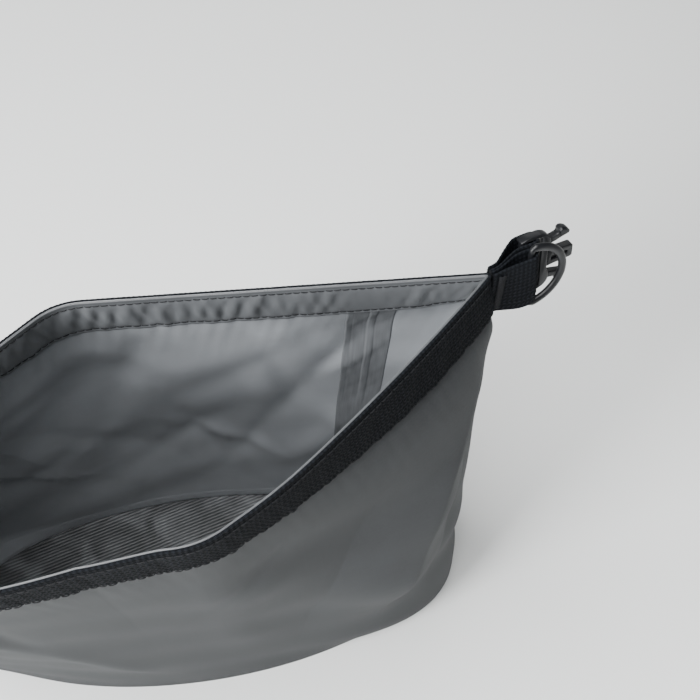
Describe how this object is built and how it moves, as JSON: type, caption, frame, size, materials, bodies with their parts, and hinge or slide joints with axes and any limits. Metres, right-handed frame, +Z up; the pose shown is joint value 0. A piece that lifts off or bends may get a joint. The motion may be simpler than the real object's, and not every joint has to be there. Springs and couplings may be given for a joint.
{
  "type": "roll-top dry bag",
  "caption": "Grey roll-top dry bag standing open, with black webbing round the rim, side D-rings and a side-release buckle.",
  "frame": {"origin": "centre of the oval base on the ground", "axes": "+X along the bag's long side towards the corner with the male buckle, +Z up from the ground to the open mouth"},
  "size_m": [0.3441, 0.1595, 0.2745],
  "materials": {
    "outer_fabric": "matte",
    "inner_coating": "satin",
    "base_fabric": "matte",
    "seam_tape": "matte",
    "webbing": "matte",
    "thread": "matte",
    "black_plastic": "satin"
  },
  "bodies": {
    "bag": {"bag_wall": "outer_fabric", "base_panel": "base_fabric", "base_seam_tape": "seam_tape", "side_seam_tape": "seam_tape", "mouth_hem": "outer_fabric", "upper_stitch_row": "thread", "lower_stitch_row": "thread", "front_webbing": "webbing", "rear_webbing": "webbing", "right_ring_loop": "webbing", "right_buckle_loop": "webbing", "right_bartack": "thread", "left_ring_loop": "webbing", "left_buckle_loop": "webbing", "left_bartack": "thread"},
    "right_ring": {"right_d_ring": "black_plastic"},
    "male_buckle": {"male_buckle_frame": "black_plastic"},
    "prong_upper": {"male_prong_upper": "black_plastic"},
    "prong_lower": {"male_prong_lower": "black_plastic"},
    "left_ring": {"left_d_ring": "black_plastic"},
    "female_buckle": {"female_buckle_shell": "black_plastic"}
  },
  "joints": [
    {"name": "right_ring_swing", "type": "hinge", "parent": "bag", "child": "right_ring", "pos_m": [0.15818, 0.0321, 0.2575], "axis": [-0.0734, 0.1574, 0.9848], "range_deg": [-100, 5]},
    {"name": "male_buckle_swing", "type": "hinge", "parent": "bag", "child": "male_buckle", "pos_m": [0.15527, 0.03835, 0.25628], "axis": [-0.0734, 0.1574, 0.9848], "range_deg": [0, 75]},
    {"name": "prong_upper_flex", "type": "hinge", "parent": "male_buckle", "child": "prong_upper", "pos_m": [0.16501, 0.04465, 0.26534], "axis": [-0.4162, 0.8925, -0.1736], "range_deg": [0, 8], "stiffness_Nm_per_rad": 0.05},
    {"name": "prong_lower_flex", "type": "hinge", "parent": "male_buckle", "child": "prong_lower", "pos_m": [0.16637, 0.04176, 0.24722], "axis": [-0.4162, 0.8925, -0.1736], "range_deg": [-8, 0], "stiffness_Nm_per_rad": 0.05},
    {"name": "left_ring_swing", "type": "hinge", "parent": "bag", "child": "left_ring", "pos_m": [-0.14001, -0.09786, 0.2575], "axis": [0, 0, 1], "range_deg": [0, 100]},
    {"name": "female_buckle_swing", "type": "hinge", "parent": "bag", "child": "female_buckle", "pos_m": [-0.14001, -0.09086, 0.2575], "axis": [0, 0, 1], "range_deg": [-75, 0]}
  ],
  "couplings": [
    {"joint": "prong_lower_flex", "follows": "prong_upper_flex", "ratio": -1}
  ]
}
